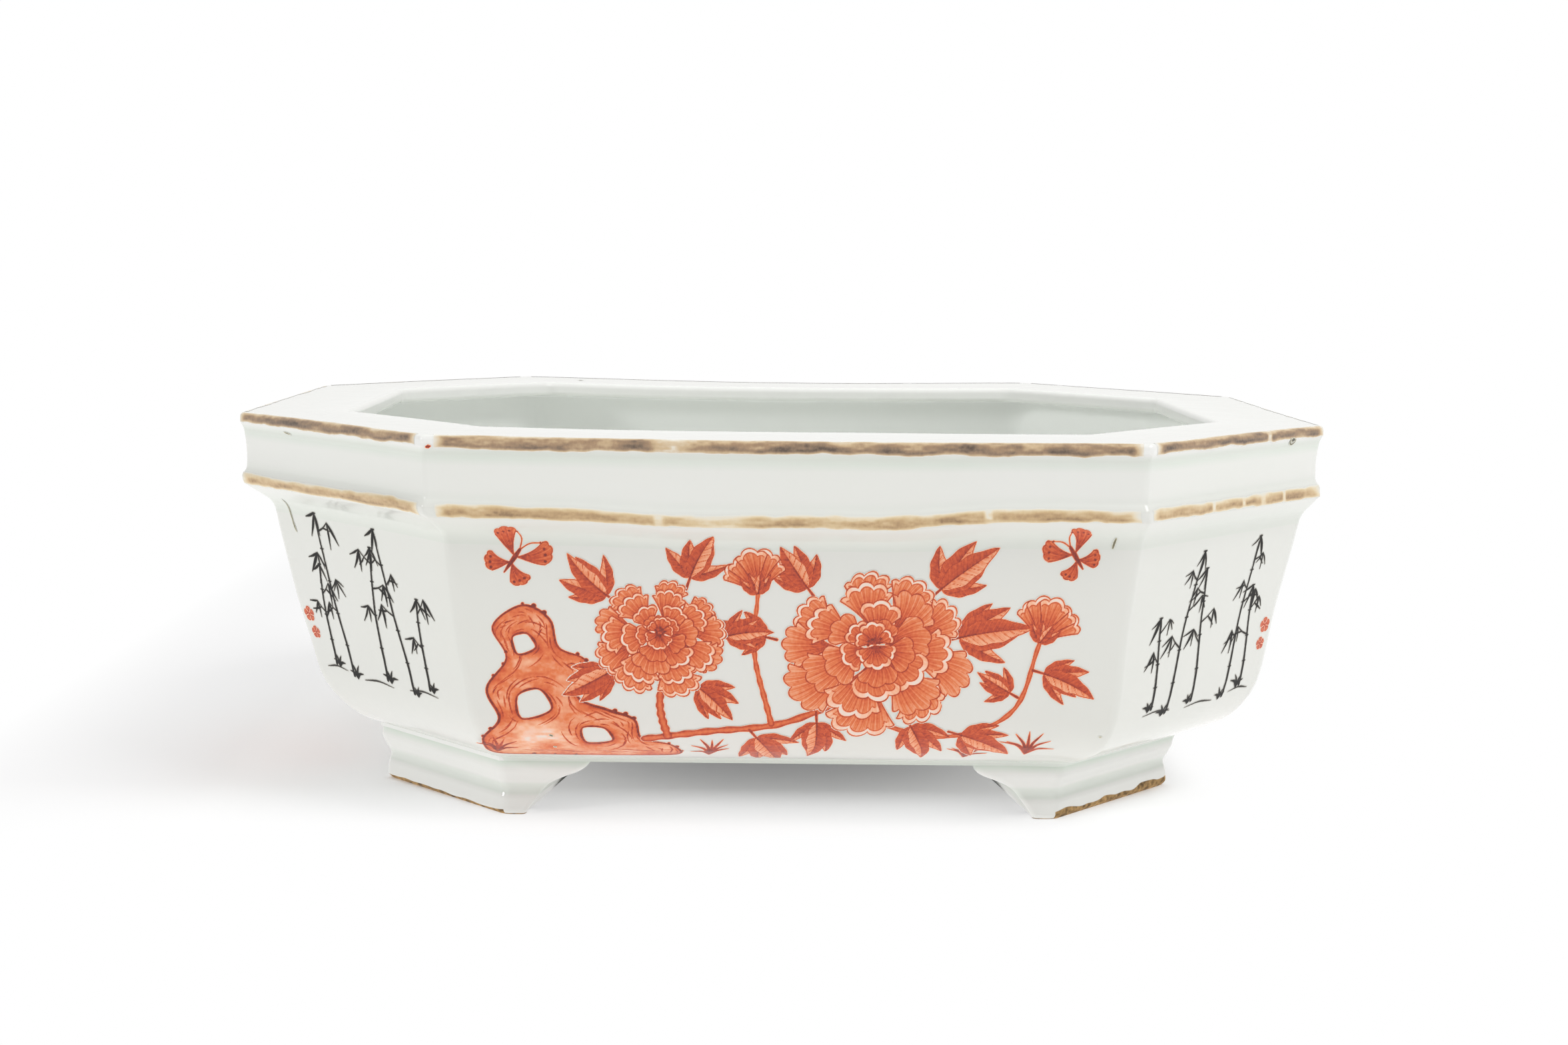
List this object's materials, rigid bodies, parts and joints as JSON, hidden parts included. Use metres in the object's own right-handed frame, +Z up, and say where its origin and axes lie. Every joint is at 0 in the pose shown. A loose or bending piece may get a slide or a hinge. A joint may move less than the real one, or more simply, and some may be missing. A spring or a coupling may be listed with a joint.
{
  "type": "octagonal porcelain jardiniere",
  "caption": "Low octagonal slab-built porcelain jardiniere with a flat lip, moulded collar, bowed walls, drained floor and bracket feet.",
  "frame": {"origin": "on the ground, under the middle of the pot", "axes": "+Z up, +X along the long sides towards the right end seen from the painted front, +Y from the painted front to the back"},
  "size_m": [0.31, 0.236, 0.1105],
  "materials": {
    "wall_glaze": "clear white glaze over porcelain",
    "collar_glaze": "clear white glaze over porcelain",
    "lip_glaze": "clear white glaze over porcelain",
    "foot_glaze": "clear white glaze, wiped off the bottom edge",
    "inner_glaze": "thicker, faintly green glaze",
    "biscuit": "unglazed porcelain, fired tan, where the glaze was wiped off",
    "gilding": "worn brush-laid gilt line over the glaze",
    "iron_red_enamel": "thin iron-red enamel painted over the glaze",
    "black_enamel": "thin black enamel painted over the glaze"
  },
  "bodies": {
    "root": {"floor_slab": "inner_glaze", "front_wall": "wall_glaze", "front_right_corner_wall": "wall_glaze", "right_end_wall": "wall_glaze", "back_right_corner_wall": "wall_glaze", "back_wall": "wall_glaze", "back_left_corner_wall": "wall_glaze", "left_end_wall": "wall_glaze", "front_left_corner_wall": "wall_glaze", "front_collar": "collar_glaze", "front_right_corner_collar": "collar_glaze", "right_end_collar": "collar_glaze", "back_right_corner_collar": "collar_glaze", "back_collar": "collar_glaze", "back_left_corner_collar": "collar_glaze", "left_end_collar": "collar_glaze", "front_left_corner_collar": "collar_glaze", "front_lip": "lip_glaze", "front_right_corner_lip": "lip_glaze", "right_end_lip": "lip_glaze", "back_right_corner_lip": "lip_glaze", "back_lip": "lip_glaze", "back_left_corner_lip": "lip_glaze", "left_end_lip": "lip_glaze", "front_left_corner_lip": "lip_glaze", "front_right_foot_middle": "foot_glaze", "front_right_foot_long_wing": "foot_glaze", "front_right_foot_short_wing": "foot_glaze", "back_right_foot_middle": "foot_glaze", "back_right_foot_long_wing": "foot_glaze", "back_right_foot_short_wing": "foot_glaze", "back_left_foot_middle": "foot_glaze", "back_left_foot_long_wing": "foot_glaze", "back_left_foot_short_wing": "foot_glaze", "front_left_foot_middle": "foot_glaze", "front_left_foot_long_wing": "foot_glaze", "front_left_foot_short_wing": "foot_glaze"}
  },
  "joints": []
}
